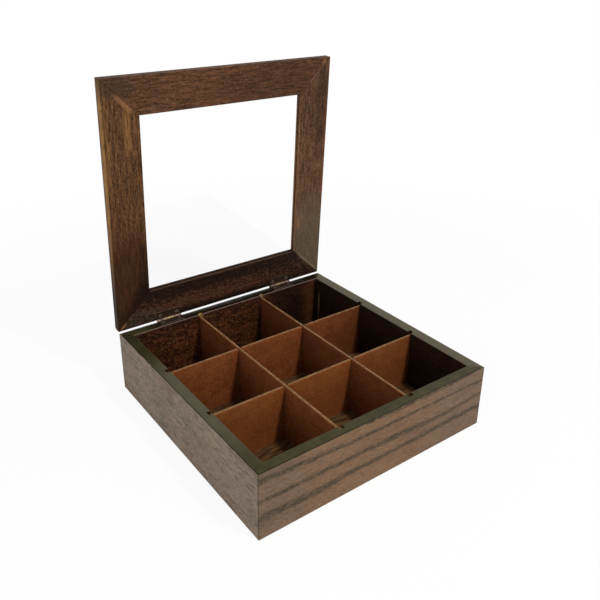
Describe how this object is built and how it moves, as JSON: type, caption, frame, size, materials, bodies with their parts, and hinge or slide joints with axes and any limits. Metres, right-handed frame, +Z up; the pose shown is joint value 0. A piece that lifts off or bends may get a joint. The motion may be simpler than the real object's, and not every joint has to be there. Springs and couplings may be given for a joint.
{
  "type": "tea bag organizer box",
  "caption": "Square wooden box divided into equal open compartments for tea bags, with a framed window lid on small butt hinges at the back.",
  "frame": {"origin": "middle of the underside, where the box rests", "axes": "+Z up, front towards -Y, hinges towards +Y, +X to the right seen from the front"},
  "size_m": [0.24, 0.2492, 0.3013],
  "materials": {
    "wall_board": "satin paint on smooth board",
    "oak_veneer": "grey-brown stained oak, open grain",
    "base_panel": "dark stained board",
    "divider": "warm brown stained board, light edges",
    "lid_frame": "brown stained wood, worn at the edges",
    "window_glass": "clear",
    "hinge_brass": "antique, dulled",
    "screw_brass": "antique, dulled"
  },
  "bodies": {
    "box": {"front_wall": "wall_board", "back_wall": "wall_board", "left_wall": "wall_board", "right_wall": "wall_board", "front_veneer": "oak_veneer", "back_veneer": "oak_veneer", "left_veneer": "oak_veneer", "right_veneer": "oak_veneer", "base_panel": "base_panel", "left_divider": "divider", "right_divider": "divider", "front_cross_divider": "divider", "back_cross_divider": "divider", "left_hinge_box_leaf": "hinge_brass", "right_hinge_box_leaf": "hinge_brass", "left_hinge_pin": "hinge_brass", "right_hinge_pin": "hinge_brass", "box_leaf_screws": "screw_brass"},
    "lid": {"lid_front_rail": "lid_frame", "lid_back_rail": "lid_frame", "lid_left_rail": "lid_frame", "lid_right_rail": "lid_frame", "window_pane": "window_glass", "left_hinge_lid_leaf": "hinge_brass", "right_hinge_lid_leaf": "hinge_brass", "lid_leaf_screws": "screw_brass"}
  },
  "joints": [
    {"name": "lid_hinge", "type": "hinge", "parent": "box", "child": "lid", "pos_m": [0, 0.1206, 0.0606], "axis": [-1, 0, 0], "range_deg": [-87, 93]}
  ]
}
